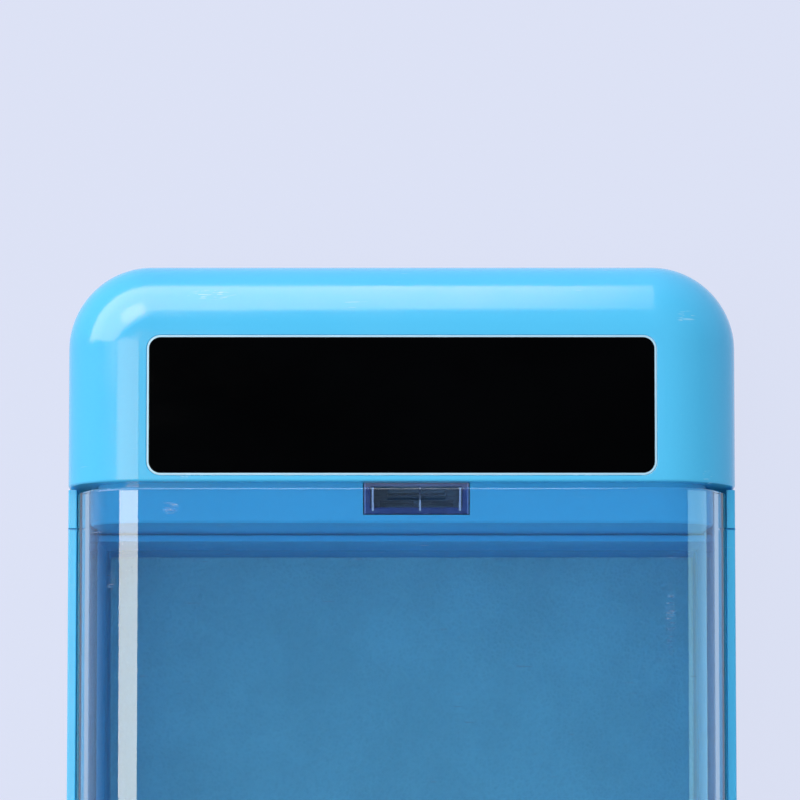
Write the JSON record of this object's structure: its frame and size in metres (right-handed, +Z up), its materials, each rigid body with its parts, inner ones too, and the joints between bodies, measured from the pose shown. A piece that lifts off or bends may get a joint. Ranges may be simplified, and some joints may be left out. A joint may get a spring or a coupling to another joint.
{
  "type": "timed lock container",
  "caption": "Flat lockable case for a phone: blue tub, clear hinged door over the compartment, and a housing with a black display window and a timed bolt lock.",
  "frame": {"origin": "middle of the footprint on the table that the rubber feet stand on", "axes": "+X across the case, to the right as its display is read; +Y along it, from the hinge end to the display end; +Z up, out of its face"},
  "size_m": [0.092, 0.2182, 0.035],
  "materials": {
    "case_blue": "glossy sky-blue moulded plastic",
    "clear_blue": "clear plastic with a light blue tint, polished",
    "steel": "bright steel",
    "rubber_dark": "matt soft rubber",
    "pad_foam": "matt blue foam",
    "smoked_lens": "polished smoked black",
    "pale_trim": "pale milky plastic",
    "adhesive": "tape",
    "black_plastic": "moulded black plastic",
    "segment_white": "milky diffuser, unlit",
    "tinned": "tinned",
    "board_green": "laminate with solder mask",
    "chip_black": "moulded black",
    "plug_white": "off-white nylon",
    "battery_foil": "foil pouch",
    "lead_red": "insulated wire",
    "lead_black": "insulated wire",
    "navy_plastic": "moulded dark blue plastic",
    "copper_winding": "enamelled copper wire",
    "magnet_plated": "nickel-plated magnet",
    "bolt_plastic": "hard acetal"
  },
  "bodies": {
    "case": {"base_shell": "case_blue", "side_rails": "case_blue", "top_housing": "case_blue", "hinge_pin": "steel", "housing_screws": "steel", "rubber_feet": "rubber_dark", "compartment_pad": "pad_foam", "display_lens": "smoked_lens", "lens_rim": "pale_trim", "lens_adhesive": "adhesive", "led_display_body": "black_plastic", "led_segments": "segment_white", "led_pins": "tinned", "main_board": "board_green", "board_screws": "steel", "timer_chip": "chip_black", "driver_chip": "chip_black", "small_components": "chip_black", "buzzer": "black_plastic", "wire_plugs": "plug_white", "port_shell": "steel", "port_tongue": "black_plastic", "battery": "battery_foil", "battery_tape": "adhesive", "battery_leads": "lead_red", "solenoid_leads": "lead_black", "lock_chassis": "navy_plastic", "chassis_screws": "steel", "solenoid_yoke": "steel", "solenoid_bobbin": "plug_white", "solenoid_coil": "copper_winding", "latch_magnet": "magnet_plated", "solenoid_screws": "steel", "bolt_spring": "steel", "switch_bodies": "black_plastic"},
    "door": {"clear_door": "clear_blue"},
    "bolt": {"latch_bolt": "bolt_plastic", "plunger": "steel", "plunger_pin": "steel"},
    "hour_key": {"hour_button": "case_blue", "hour_switch_stem": "plug_white"},
    "minute_key": {"minute_button": "case_blue", "minute_switch_stem": "plug_white"},
    "lock_key": {"lock_button": "case_blue", "lock_switch_stem": "plug_white"}
  },
  "joints": [
    {"name": "door_hinge", "type": "hinge", "parent": "case", "child": "door", "pos_m": [0, -0.1067, 0.018], "axis": [1, 0, 0], "range_deg": [0, 180]},
    {"name": "bolt_slide", "type": "slide", "parent": "case", "child": "bolt", "axis": [0, -1, 0], "range_m": [0, 0.003], "deforming": ["bolt_spring"]},
    {"name": "hour_press", "type": "slide", "parent": "case", "child": "hour_key", "axis": [0, -1, 0], "range_m": [0, 0.0005], "stiffness_N_per_m": 1500},
    {"name": "minute_press", "type": "slide", "parent": "case", "child": "minute_key", "axis": [0, -1, 0], "range_m": [0, 0.0005], "stiffness_N_per_m": 1500},
    {"name": "lock_press", "type": "slide", "parent": "case", "child": "lock_key", "axis": [0, -1, 0], "range_m": [0, 0.0005], "stiffness_N_per_m": 1500}
  ]
}
